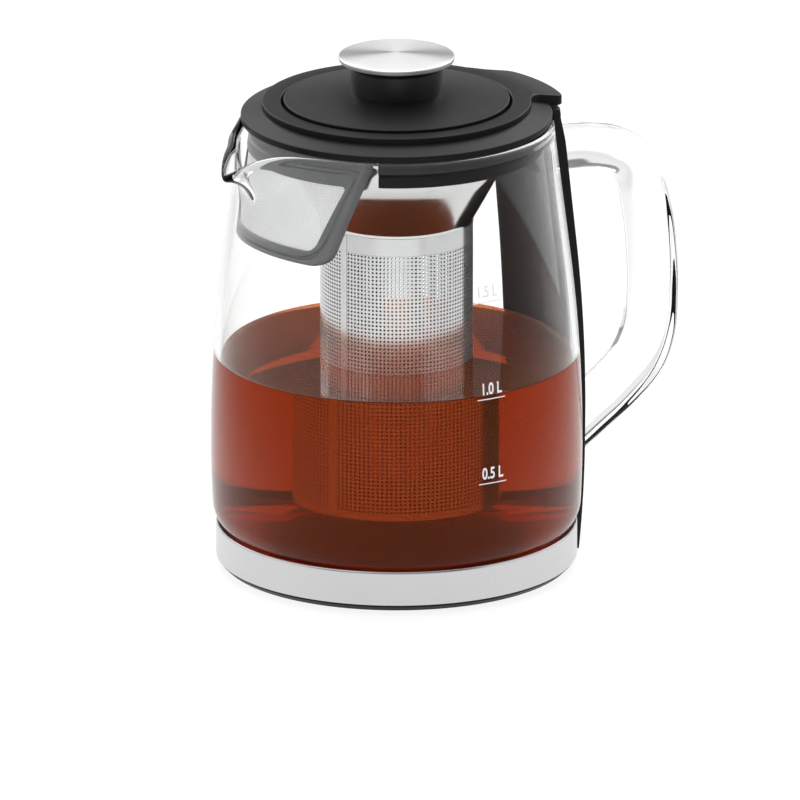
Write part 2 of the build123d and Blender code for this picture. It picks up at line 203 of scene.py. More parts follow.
def grid_quads(rows, columns, wrap_rows, wrap_columns):
    """Corner numbers of every cell of a grid of points."""
    i = np.arange(rows if wrap_rows else rows - 1)[:, None]
    j = np.arange(columns if wrap_columns else columns - 1)[None, :]
    i2, j2 = (i + 1) % rows, (j + 1) % columns
    quads = np.stack([i * columns + j, i * columns + j2, i2 * columns + j2, i2 * columns + j], axis=-1)
    return quads.reshape(-1, 4)


def patch(points, wrap_rows=False, wrap_columns=True):
    """Vertices and quads of one grid of points."""
    rows, columns = points.shape[:2]
    return points.reshape(-1, 3), grid_quads(rows, columns, wrap_rows, wrap_columns)


def add_piece(name, patches, finish, body, replaces=(), sharp=40.0):
    """Joins patches into one welded mesh with outward normals, gives it finish and body, and hides the nodes
    that it replaces.
    """
    starts = np.cumsum([0] + [len(points) for points, _ in patches])
    points = np.concatenate([points for points, _ in patches])
    quads = np.concatenate([quads + start for (_, quads), start in zip(patches, starts)])
    mesh = bpy.data.meshes.new(name)
    mesh.vertices.add(len(points))
    mesh.vertices.foreach_set("co", points.astype(np.float32).ravel())
    mesh.loops.add(quads.size)
    mesh.loops.foreach_set("vertex_index", quads.astype(np.int32).ravel())
    mesh.polygons.add(len(quads))
    mesh.polygons.foreach_set("loop_start", np.arange(0, quads.size, 4, dtype=np.int32))
    mesh.update(calc_edges=True)
    shape = bmesh.new()
    shape.from_mesh(mesh)
    bmesh.ops.remove_doubles(shape, verts=shape.verts, dist=2e-6)
    bmesh.ops.dissolve_degenerate(shape, edges=shape.edges, dist=1e-7)
    bmesh.ops.recalc_face_normals(shape, faces=shape.faces)
    shape.to_mesh(mesh)
    shape.free()
    mesh.polygons.foreach_set("use_smooth", np.ones(len(mesh.polygons), bool))
    mesh.set_sharp_from_angle(angle=math.radians(sharp))
    mesh.materials.append(finish)
    piece = bpy.data.objects.new(name, mesh)
    bpy.context.scene.collection.objects.link(piece)
    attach(piece, body)
    if replaces:
        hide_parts(*replaces)
    return piece


def dress(finish, *nodes):
    """Gives CAD nodes a finish."""
    for name in nodes:
        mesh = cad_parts[name].data
        mesh.materials.clear()
        mesh.materials.append(finish)


def wall_radius(z):
    """Outer radius of the jug's wall: a parabola round the belly, a straight cone above the shoulder."""
    jug = bpy.context.scene.teapot_jug
    span = jug.shoulder_height - jug.belly_height
    parabola = jug.neck_taper / (2 * span)
    above = z - jug.belly_height
    round_part = jug.belly_radius - parabola * above ** 2
    cone = jug.belly_radius - parabola * span ** 2 - jug.neck_taper * (z - jug.shoulder_height)
    low = jug.belly_radius - jug.foot_curve * above ** 2
    return np.where(z < jug.belly_height, low, np.where(z < jug.shoulder_height, round_part, cone))


def on_wall(angle, z, inset):
    """Point on the wall at an angle and a height, inset from the outer face."""
    r = wall_radius(z) - inset
    return np.stack([r * np.cos(angle), r * np.sin(angle), z + 0 * angle], axis=-1)


def foot_arc(bottom, inset, count=14):
    """Quarter circle from the floor to the wall, as (r, z): the corner at the bottom, rounded."""
    jug = bpy.context.scene.teapot_jug
    radius = jug.foot_round - inset
    middle_z = bottom + radius
    middle_r = float(wall_radius(np.array(middle_z))) - inset - radius
    a = np.linspace(-math.pi / 2, 0, count)
    return np.stack([middle_r + radius * np.cos(a), middle_z + radius * np.sin(a)], axis=-1)


def every_cell(i, j):
    """Mask over cells that holds them all."""
    return np.ones(np.shape(i), bool)


def perforated(columns, rows, pitch, hole, thickness, has_hole, keep, place):
    """Sheet of square cells, each with an eight-sided hole. A cell is a ring between its own outline
    and the hole, on both faces, with the hole's wall between them; has_hole and keep are masks over
    cells, and place turns flat (u, v, depth) into space."""
    i, j = np.meshgrid(np.arange(columns), np.arange(rows), indexing="ij")
    keep = keep(i, j)
    holed = has_hole(i, j)[keep]
    centre = np.stack([(i[keep] + 0.5) * pitch, (j[keep] + 0.5) * pitch], axis=-1)[:, None]
    a = np.arange(8) * math.pi / 4
    around = np.stack([np.cos(a), np.sin(a)], axis=-1)
    square = np.sign(np.round(around, 6)) * pitch / 2
    radius = np.where(holed, hole / 2, 0.0)[:, None, None]
    outline, rim = centre + square, centre + around * radius
    layers = [np.concatenate([flat, np.full(flat.shape[:2] + (1,), depth)], axis=-1)
              for depth in (0.0, thickness) for flat in (outline, rim)]
    points = np.concatenate(layers, axis=1)
    k = np.arange(8)
    k2 = (k + 1) % 8
    front = np.stack([k, k2, k2 + 8, k + 8], axis=-1)
    back = np.stack([k + 16, k2 + 16, k2 + 24, k + 24], axis=-1)
    tunnel = np.stack([k + 8, k2 + 8, k2 + 24, k + 24], axis=-1)
    start = (np.arange(len(points)) * 32)[:, None, None]
    faces = np.concatenate([(start + front).reshape(-1, 4), (start + back).reshape(-1, 4),
                            (start[holed] + tunnel).reshape(-1, 4)])
    # Each side of a cell: its two stretches of outline, and the step to the cell beside it.
    edges = [((0, 1), (7, 0), 1, 0), ((1, 2), (2, 3), 0, 1), ((3, 4), (4, 5), -1, 0), ((5, 6), (6, 7), 0, -1)]
    filled = np.zeros((columns + 2, rows + 2), bool)
    filled[1:-1, 1:-1] = keep
    ki, kj = i[keep] + 1, j[keep] + 1
    for first, second, di, dj in edges:
        open_side = ~filled[ki + di, kj + dj]
        for m, n in (first, second):
            side = np.array([[m, n, n + 16, m + 16]])
            faces = np.concatenate([faces, (start[open_side] + side).reshape(-1, 4)])
    u, v, depth = points.reshape(-1, 3).T
    return place(u, v, depth), faces


# ---------------------------------------------------------------- finishes

class Value:
    """A shader value; arithmetic on it adds Math nodes."""

    def __init__(self, nodes, socket):
        self.nodes, self.socket = nodes, socket

    def math(self, operation, *values):
        """One Math node of the given values."""
        return self.nodes.node("ShaderNodeMath", {"operation": operation}, dict(enumerate(values)))

    def __add__(self, other):
        return self.math("ADD", self, other)

    def __sub__(self, other):
        return self.math("SUBTRACT", self, other)

    def __rsub__(self, other):
        return self.math("SUBTRACT", other, self)

    def __mul__(self, other):
        return self.math("MULTIPLY", self, other)

    def __pow__(self, other):
        return self.math("POWER", self, other)

    def __rpow__(self, other):
        return self.math("POWER", other, self)

    __radd__ = __add__
    __rmul__ = __mul__

    def larger(self, other):
        """The larger of two values."""
        return self.math("MAXIMUM", self, other)

    def size(self):
        """The value without its sign."""
        return self.math("ABSOLUTE", self)


class Nodes:
    """A node tree under construction, emptied but for its output node."""

    def __init__(self, owner, output, coordinates="Object"):
        owner.use_nodes = True
        self.tree = owner.node_tree
        self.tree.nodes.clear()
        self.output = self.tree.nodes.new(output)
        self.coordinates = self.node("ShaderNodeTexCoord", output=coordinates)

    def node(self, kind, settings=None, inputs=None, output=0):
        """Adds a node: settings first, then values or links of its sockets. Returns one output, or a
        list of them if several are asked for."""
        made = self.tree.nodes.new(kind)
        for key, value in (settings or {}).items():
            setattr(made, key, value)
        for key, value in (inputs or {}).items():
            socket = made.inputs[key]
            if isinstance(value, Value):
                self.tree.links.new(value.socket, socket)
            elif hasattr(socket.default_value, "__len__") and len(socket.default_value) == 4:
                socket.default_value = (*value, 1)
            else:
                socket.default_value = value
        if isinstance(output, tuple):
            return [Value(self, made.outputs[key]) for key in output]
        return Value(self, made.outputs[output])

    def finish_with(self, shader, socket="Surface"):
        """Links a shader to the output."""
        self.tree.links.new(shader.socket, self.output.inputs[socket])

    def parts(self):
        """The coordinates as separate x, y and z values."""
        return self.node("ShaderNodeSeparateXYZ", {}, {0: self.coordinates}, (0, 1, 2))

    def rays(self, *kinds):
        """1 for each asked kind of ray."""
        return self.node("ShaderNodeLightPath", {}, {}, kinds)

    def rise(self, value, low, high):
        """Smooth rise from 0 at low to 1 at high."""
        return self.node("ShaderNodeMapRange", {"interpolation_type": "SMOOTHSTEP"}, {
            "Value": value, "From Min": low, "From Max": high, "To Min": 0.0, "To Max": 1.0})


class Finish(Nodes):
    """A material under construction."""

    def __init__(self, name):
        self.material = bpy.data.materials.new(name)
        super().__init__(self.material, "ShaderNodeOutputMaterial")

    def noise(self, scale, detail=2.0, vector=None, roughness=0.5):
        """Noise between 0 and 1 on Object coordinates."""
        inputs = {"Vector": vector or self.coordinates, "Scale": scale, "Detail": detail,
                  "Roughness": roughness}
        return self.node("ShaderNodeTexNoise", {}, inputs, "Fac")

    def blend(self, factor, low, high):
        """Mix of two colours."""
        return self.node("ShaderNodeMix", {"data_type": "RGBA"}, {"Factor": factor, 6: low, 7: high}, 2)

    def bump(self, height, strength, distance):
        """Normal that follows a height."""
        return self.node("ShaderNodeBump", {}, {"Height": height, "Strength": strength,
                                                "Distance": distance})

    def shade(self, **sockets):
        """Principled surface with the given sockets, written with _ for a space; returns the material."""
        inputs = {key.replace("_", " "): value for key, value in sockets.items()}
        self.finish_with(self.node("ShaderNodeBsdfPrincipled", {}, inputs))
        return self.material


def through_lamps(finish, surface):
    """Lets light from lamps pass a glass: shadow rays see a clear surface in its place."""
    clear = finish.node("ShaderNodeBsdfTransparent", {}, {"Color": (1.0, 1.0, 1.0)})
    shadow, = finish.rays("Is Shadow Ray")
    finish.finish_with(finish.node("ShaderNodeMixShader", {}, {0: shadow, 1: surface, 2: clear}))


def glass_finish(name, tint, ior):
    """Clear polished glass, with faint waves in its surface."""
    finish = Finish(name)
    waves = finish.bump(finish.noise(28.0, 1.0), 0.06, 0.6 * MM)
    surface = finish.node("ShaderNodeBsdfPrincipled", {}, {
        "Base Color": tint, "Roughness": 0.0, "IOR": ior, "Transmission Weight": 1.0,
        "Specular Tint": (0.15, 0.15, 0.15), "Normal": waves})
    through_lamps(finish, surface)
    return finish.material


def tea_finish(settings):
    """Tea: tinted at its surface and again with depth."""
    finish = Finish("tea")
    surface = finish.node("ShaderNodeBsdfPrincipled", {}, {
        "Base Color": tuple(settings.tint), "Roughness": 0.0, "IOR": 1.33, "Transmission Weight": 0.9,
        "Specular Tint": (0.1, 0.1, 0.1)})
    through_lamps(finish, surface)
    depth = finish.node("ShaderNodeVolumeAbsorption", {}, {"Color": tuple(settings.depth_tint),
                                                           "Density": settings.density})
    finish.finish_with(depth, "Volume")
    return finish.material


def plastic_finish(name, colour, roughness, grain, grain_height, specular=0.5):
    """Moulded plastic: a fine spark-eroded grain, with roughness that wanders a little."""
    finish = Finish(name)
    speckle = finish.noise(1 / grain, 2.0)
    wander = finish.noise(45.0, 3.0)
    tone = finish.blend(wander, tuple(c * 0.9 for c in colour), tuple(c * 1.12 for c in colour))
    return finish.shade(Base_Color=tone, Roughness=wander * 0.08 + (roughness - 0.04),
                        Specular_IOR_Level=specular, Normal=finish.bump(speckle, 0.5, grain_height))


def silicone_finish():
    """Soft dark silicone with a dusty sheen."""
    finish = Finish("dark_silicone")
    cloud = finish.noise(160.0, 3.0)
    tone = finish.blend(cloud, (0.02, 0.02, 0.021), (0.035, 0.035, 0.037))
    return finish.shade(Base_Color=tone, Roughness=cloud * 0.15 + 0.55, Sheen_Weight=0.15,
                        Normal=finish.bump(finish.noise(2500.0, 1.0), 0.3, 0.02 * MM))


def turned_steel_finish(name, tone, roughness, anisotropic=0.0, line=0.25 * MM, depth=0.012 * MM):
    """Steel brushed round the axis: fine rings by distance from the axis and by height."""
    finish = Finish(name)
    x, y, z = finish.parts()
    radius = (x * x + y * y) ** 0.5
    rings = finish.node("ShaderNodeCombineXYZ", {}, {0: radius * (1 / line), 1: z * (1 / line)})
    lines = finish.noise(1.0, 3.0, rings)
    cloud = finish.noise(60.0, 2.0)
    colour = finish.blend(lines * 0.6 + cloud * 0.4, tuple(c * 0.9 for c in tone), tone)
    inputs = {"Base_Color": colour, "Metallic": 1.0, "Roughness": lines * 0.12 + (roughness - 0.06),
              "Normal": finish.bump(lines, 0.35, depth)}
    if anisotropic:
        inputs["Anisotropic"] = anisotropic
        inputs["Anisotropic_Rotation"] = 0.25
    return finish.shade(**inputs)


def polished_steel_finish(name, tone=(0.74, 0.735, 0.73), roughness=0.12, metallic=1.0):
    """Polished sheet steel with a faint drawn haze."""
    finish = Finish(name)
    haze = finish.noise(220.0, 3.0)
    colour = finish.blend(haze, tuple(c * 0.94 for c in tone), tone)
    return finish.shade(Base_Color=colour, Metallic=metallic, Roughness=haze * 0.06 + (roughness - 0.03),
                        Normal=finish.bump(finish.noise(35.0, 2.0), 0.15, 0.25 * MM))


def print_finish(colour):
    """Opaque ceramic print."""
    finish = Finish("fill_mark_print")
    cloud = finish.noise(400.0, 2.0)
    tone = finish.blend(cloud, tuple(c * 0.93 for c in colour), tuple(colour))
    return finish.shade(Base_Color=tone, Roughness=cloud * 0.1 + 0.35)


def shared(name, make):
    """The finish of that name, made on first use."""
    return bpy.data.materials.get(name) or make()


def black_finish(context):
    """Satin black plastic of the strap, the foot and the plug."""
    colour = tuple(context.scene.teapot_finish.strap_colour)
    return shared("satin_black_plastic", lambda: plastic_finish("satin_black_plastic", colour, 0.38,
                                                                0.3 * MM, 0.02 * MM, 0.15))


def lid_finish(context):
    """Fine matte plastic of the lid."""
    colour = tuple(context.scene.teapot_finish.lid_colour)
    return shared("matte_lid_plastic", lambda: plastic_finish("matte_lid_plastic", colour, 0.4, 0.35 * MM,
                                                              0.03 * MM, 0.12))


def screw_finish():
    """Plain steel of the screws and the washer."""
    return shared("plain_screw_steel", lambda: polished_steel_finish("plain_screw_steel", roughness=0.25))


def tube_finish(radius):
    """Bright sheet steel on the outer face; near black on the inner one, by distance from the axis, as
    painted shade inside the tube.
    """
    finish = Finish("perforated_steel")
    x, y, _ = finish.parts()
    inner_shade_fade = finish.node("ShaderNodeMapRange", {}, {
        "Value": (x * x + y * y) ** 0.5, "From Min": radius - 0.32 * MM, "From Max": radius - 0.1 * MM,
        "To Min": 0.0, "To Max": 1.0})
    haze = finish.noise(180.0, 3.0)
    outer = finish.blend(haze, (0.70, 0.70, 0.70), (0.78, 0.78, 0.78))
    # The near-black colour of the inner face is painted shade; the outer face keeps the steel's tone with a
    # random haze.
    return finish.shade(Base_Color=finish.blend(inner_shade_fade, (0.025, 0.024, 0.023), outer), Metallic=0.82,
                        Roughness=haze * 0.05 + 0.15,
                        Normal=finish.bump(finish.noise(30.0, 2.0), 0.12, 0.2 * MM))


# ---------------------------------------------------------------- pieces

class PieceOperator:
    """What the operators share. Each raises if a node that it stands for is missing."""

    bl_options = {"REGISTER", "UNDO"}

    @classmethod
    def poll(cls, context):
        return context.scene is not None


class TEAPOT_OT_jug(PieceOperator, bpy.types.Operator):
    """Builds the glass jug with its pulled spout"""

    bl_idname = "teapot.jug"
    bl_label = "Glass jug"

    def execute(self, context):
        jug = context.scene.teapot_jug
        low, high = (corner.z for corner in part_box("glass_jug"))
        bead = 0.6 * MM
        half = (jug.wall + bead) / 2
        finer = high - SPOUT_HEIGHT - 3 * MM
        heights = np.concatenate([np.linspace(low + jug.foot_round, finer, 34)[1:],
                                  np.linspace(finer, high - half, 44)[1:]])
        u = np.arange(440) / 440 * FULL_TURN
        closer_at_spout = 0.6
        angles = SPOUT_ANGLE + u - closer_at_spout * np.sin(u)
        outer = self.with_spout(heights, angles, jug, high)
        around = np.roll(outer, -1, axis=1) - np.roll(outer, 1, axis=1)
        up = np.gradient(outer, axis=0)
        up /= np.linalg.norm(up, axis=2, keepdims=True)
        normal = np.cross(around, up)
        normal /= np.linalg.norm(normal, axis=2, keepdims=True)
        swell = bead * ease((heights - high + 5 * MM) / (3.2 * MM))
        inner = (outer - normal * (jug.wall + swell)[:, None, None])[::-1]
        a = np.linspace(0, math.pi, 13)[1:-1][:, None, None]
        rim = outer[-1] + half * ((np.cos(a) - 1) * normal[-1] + np.sin(a) * up[-1])
        outer_foot = foot_arc(low, 0)
        inner_foot = foot_arc(low + jug.floor, jug.wall)[::-1]
        under = np.linspace([0, low], outer_foot[0], 6)[:-1]
        over = np.linspace(inner_foot[-1], [0, low + jug.floor], 6)[1:]
        points = np.concatenate([turned(np.concatenate([under, outer_foot]), angles), outer, rim, inner,
                                 turned(np.concatenate([inner_foot, over]), angles)])
        add_piece("glass_jug_shell", [patch(points)],
                  glass_finish("polished_jug_glass", (0.985, 0.995, 0.99), 1.45), "jug",
                  ["glass_jug"])
        return {"FINISHED"}

    def with_spout(self, heights, angles, jug, rim):
        """Outer face of the wall with its spout. climb runs from 0 at the throat to 1 at the rim, and
        share from 1 at the spout's middle to 0 at its half angle, blunter low down. The wall is pushed
        outwards by reach * share^(2.6 to 3.6) * climb^2.4 and lowered by drop * a bell of the angle *
        climb^1.2; the tongue curls down by one more bell, with a pinch beside it."""
        off = np.degrees(np.abs((angles - SPOUT_ANGLE + math.pi) % FULL_TURN - math.pi))
        z = heights[:, None]
        climb = np.clip((z - rim + SPOUT_HEIGHT) / SPOUT_HEIGHT, 0, 1)
        blunt = 4.0 + 12.0 * (1 - climb)
        flat_off = np.sqrt(off ** 2 + blunt ** 2) - blunt
        share = np.clip(1 - flat_off / math.degrees(jug.lip_half_angle), 0, 1)
        push = jug.lip_push * share ** (2.6 + 1.0 * (1 - climb)) * climb ** 2.4
        pinch = 0.9 * MM * np.exp(-((off - 11.5) / 3.0) ** 2) * climb ** 10
        drop = jug.lip_drop * np.exp(-(off / 10.2) ** 1.6) * climb ** 1.2
        curl = 3.0 * MM * np.exp(-(off / 6.4) ** 2) * climb ** 7
        reach = wall_radius(z) + push - pinch
        return np.stack([reach * np.cos(angles), reach * np.sin(angles), z - drop - curl], axis=-1)


class TEAPOT_OT_marks(PieceOperator, bpy.types.Operator):
    """Builds the printed fill marks, plain numbers with a line under each"""

    bl_idname = "teapot.marks"
    bl_label = "Fill marks"

    def execute(self, context):
        finish = print_finish(tuple(context.scene.teapot_finish.mark_colour))
        level = context.scene.teapot_tea.level
        marks = {"1.5 L": level + 37.5 * MM, "1.0 L": level, "0.5 L": level - 33.2 * MM}
        for words, height in marks.items():
            label = words.split()[0].replace(".", "_")
            points, faces = self.letters(words, 4.4 * MM)
            bar = self.bar(12 * MM, 0.4 * MM)
            self.wrap("fill_mark_" + label, points, faces, height + 1.9 * MM, finish)
            self.wrap("fill_line_" + label, *bar, height, finish)
        return {"FINISHED"}

    def letters(self, words, size):
        """Flat, finely cut text as points (across, up) and faces."""
        curve = bpy.data.curves.new("letters", "FONT")
        curve.body, curve.size, curve.align_x = words, size / 0.7, "CENTER"
        curve.offset = 0.03 * size
        holder = bpy.data.objects.new("letters", curve)
        bpy.context.scene.collection.objects.link(holder)
        bpy.context.view_layer.update()
        mesh = bpy.data.meshes.new_from_object(holder)
        bpy.data.objects.remove(holder)
        points = np.zeros(len(mesh.vertices) * 3, np.float32)
        mesh.vertices.foreach_get("co", points)
        faces = [tuple(face.vertices) for face in mesh.polygons]
        return points.reshape(-1, 3)[:, :2] * (0.74, 1), faces

    def bar(self, width, height):
        """Flat strip in 24 steps."""
        x = np.linspace(-width / 2, width / 2, 25)
        low, high = (np.stack([x, 0 * x + side * height / 2], axis=-1) for side in (-1, 1))
        faces = [(k, k + 1, k + 26, k + 25) for k in range(24)]
        return np.concatenate([low, high]), faces

    def wrap(self, name, flat, faces, height, finish):
        """Lays flat points on the wall: across becomes an arc, up becomes height."""
        z = flat[:, 1] + height
        angle = MARKS_ANGLE + flat[:, 0] / wall_radius(z)
        mesh = bpy.data.meshes.new(name)
        mesh.from_pydata(on_wall(angle, z, -0.03 * MM).tolist(), [], faces)
        mesh.materials.append(finish)
        piece = bpy.data.objects.new(name, mesh)
        bpy.context.scene.collection.objects.link(piece)
        solid = piece.modifiers.new("Thickness", "SOLIDIFY")
        solid.thickness, solid.offset = 0.05 * MM, 0
        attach(piece, "jug")


class TEAPOT_OT_tea(PieceOperator, bpy.types.Operator):
    """Builds the tea inside the jug"""

    bl_idname = "teapot.tea"
    bl_label = "Tea"

    def execute(self, context):
        jug, tea = context.scene.teapot_jug, context.scene.teapot_tea
        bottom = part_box("glass_jug")[0].z + jug.floor - 0.25 * MM
        into_wall = jug.wall - 0.25 * MM
        arc = foot_arc(bottom, into_wall)
        heights = np.linspace(arc[-1, 1], tea.level + 0.9 * MM, 40)[1:]
        side = np.stack([wall_radius(heights) - into_wall, heights], axis=-1)
        in_from_wall = np.array([0.3, 0.7, 1.3, 2.2, 3.4]) * MM
        creep = 0.9 * MM * np.exp(-in_from_wall / (0.9 * MM))
        wall = float(wall_radius(np.array(tea.level))) - into_wall
        meniscus = np.stack([wall - in_from_wall, tea.level + creep], axis=-1)
        top = np.linspace([wall - 5 * MM, tea.level], [0, tea.level], 12)
        under = np.linspace([0, bottom], arc[0], 5)[:-1]
        profile = np.concatenate([under, arc, side, meniscus, top])
        add_piece("tea", [patch(lathe(profile, 256))], tea_finish(tea), "jug")
        return {"FINISHED"}


class TEAPOT_OT_handle(PieceOperator, bpy.types.Operator):
    """Builds the clear C-shaped handle"""

    bl_idname = "teapot.handle"
    bl_label = "Clear handle"

    width: length_setting("Width", "Width across the handle", 21.6 * MM)

    def execute(self, context):
        # Down the middle line: distance from the axis, height, half thickness.
        stations = np.array([(63.2, 154.8, 7.9), (74, 154.0, 7.8), (87, 152.8, 7.9), (99.5, 148.8, 8.5),
                             (107.5, 139.5, 8.9), (111.6, 124.5, 9.1), (113.6, 107, 9.2), (114.0, 91, 9.2),
                             (112.6, 76.5, 9.3), (107.5, 64.6, 9.4), (96.8, 54.8, 9.5), (84.5, 46.6, 9.6),
                             (69.4, 37.2, 9.9)]) * MM
        path = smooth_path(stations, 150)
        line, half = path[:, :2], path[:, 2:3]
        along = np.gradient(line, axis=0)
        along /= np.linalg.norm(along, axis=1, keepdims=True)
        across = np.stack([along[:, 1], -along[:, 0]], axis=-1)
        a = np.arange(72) / 72 * FULL_TURN
        power = 2 / 2.7        # rounded square section: |out|^2.7 + |side|^2.7 = 1
        out = np.sign(np.cos(a)) * np.abs(np.cos(a)) ** power
        side = np.sign(np.sin(a)) * np.abs(np.sin(a)) ** power
        offset = half * out[None]
        x = line[:, :1] + across[:, :1] * offset
        z = line[:, 1:] + across[:, 1:] * offset
        y = np.broadcast_to(side * self.width / 2, x.shape)
        body = np.stack([x, y, z], axis=-1)
        add_piece("clear_handle_bar", [patch(capped(body))],
                  glass_finish("clear_handle_glass", (0.99, 0.995, 0.995), 1.49), "jug",
                  ["clear_handle"])
        return {"FINISHED"}


class TEAPOT_OT_strap(PieceOperator, bpy.types.Operator):
    """Builds the strap on the handle side, with its head and its foot"""

    bl_idname = "teapot.strap"
    bl_label = "Strap"

    half_angle: angle_setting("Half angle", "Half of the strap's spread", math.radians(22))
    gap: length_setting("Gap", "Room between glass and strap", 0.2 * MM)

    def execute(self, context):
        low, high = (corner.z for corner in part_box("handle_strap"))
        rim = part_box("glass_jug")[1].z
        jug = context.scene.teapot_jug
        z = np.concatenate([[low, low + 0.3 * MM], np.linspace(low + 1 * MM, high - 1 * MM, 90),
                            [high - 0.3 * MM, high]])
        share = np.clip((z - jug.belly_height) / (rim - 3.5 * MM - jug.belly_height), 0, 1)
        thick = (1.9 + 1.9 * share) * MM - 0.9 * MM * ease((z - high + 14 * MM) / (12 * MM))
        thick[[0, -1]] -= 0.4 * MM
        band = self.bar(z, thick, self.half_angle, self.gap)
        head = np.linspace(high - 3.3 * MM, high - 0.2 * MM, 6)
        head_part = self.bar(head, np.full(6, 3.0 * MM), self.half_angle - math.radians(2),
                             self.gap + 0.4 * MM)
        foot_r = soften([(53, 1.6, 0.3), (68.5, 1.6, 0.3), (68.5, 4.0, 0.3), (53, 4.0, 0.3)]) * MM
        foot = lathe(foot_r, 24, -self.half_angle, 2 * self.half_angle)
        patches = [patch(band), patch(head_part), patch(foot, True, False)]
        add_piece("handle_strap_band", patches, black_finish(context), "jug",
                  ["handle_strap"])
        return {"FINISHED"}

    def bar(self, z, thick, half_angle, gap):
        """Bar along the wall. At each height its section is laid on the wall: across from -1 to 1, and
        depth from 0 on the wall to 1 outside, with the outer corners rounded by a quarter ellipse."""
        spread = np.linspace(-0.9, 0.9, 14)
        lower = np.stack([spread, 0 * spread], axis=-1)
        upper = np.stack([spread[::-1], 0 * spread + 1], axis=-1)
        a = np.linspace(0, math.pi / 2, 7)
        corner = np.stack([1 - 0.022 * (1 - np.cos(a)), 0.7 + 0.3 * np.sin(a)], axis=-1)
        section = np.concatenate([lower, [(0.99, 0), (1, 0.05), (1, 0.7)], corner, [(0.95, 1)], upper,
                                  [(-0.95, 1)], corner[::-1] * (-1, 1), [(-1, 0.7), (-1, 0.05), (-0.99, 0)]])
        angle = section[:, 0] * half_angle + HANDLE_ANGLE
        depth = gap + section[:, 1] * thick[:, None]
        rows = on_wall(angle[None] + 0 * depth, z[:, None] + 0 * depth, -depth)
        return capped(rows)


class TEAPOT_OT_foot(PieceOperator, bpy.types.Operator):
    """Builds the steel collar and finishes the dish, pad, seal and screws"""

    bl_idname = "teapot.foot"
    bl_label = "Foot"

    def execute(self, context):
        low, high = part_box("base_collar")
        outer = high.x
        inner = outer - 0.7 * MM
        bead = soften([(inner, low.z, 0), (outer - 0.1 * MM, low.z, 0.25 * MM),
                       (outer, low.z + 0.5 * MM, 0.2 * MM), (outer, high.z - 0.6 * MM, 0.3 * MM),
                       (outer - 0.25 * MM, high.z, 0.2 * MM), (inner, high.z, 0)])
        add_piece("base_collar_band", [patch(lathe(bead, 300), wrap_rows=True)],
                  turned_steel_finish("brushed_collar_steel", (0.66, 0.66, 0.67), 0.28),
                  "jug", ["base_collar"])
        dress(black_finish(context), "base_carrier")
        dress(shared("dark_silicone", silicone_finish), "base_seal", "base_pad")
        dress(screw_finish(), "carrier_screws")
        return {"FINISHED"}


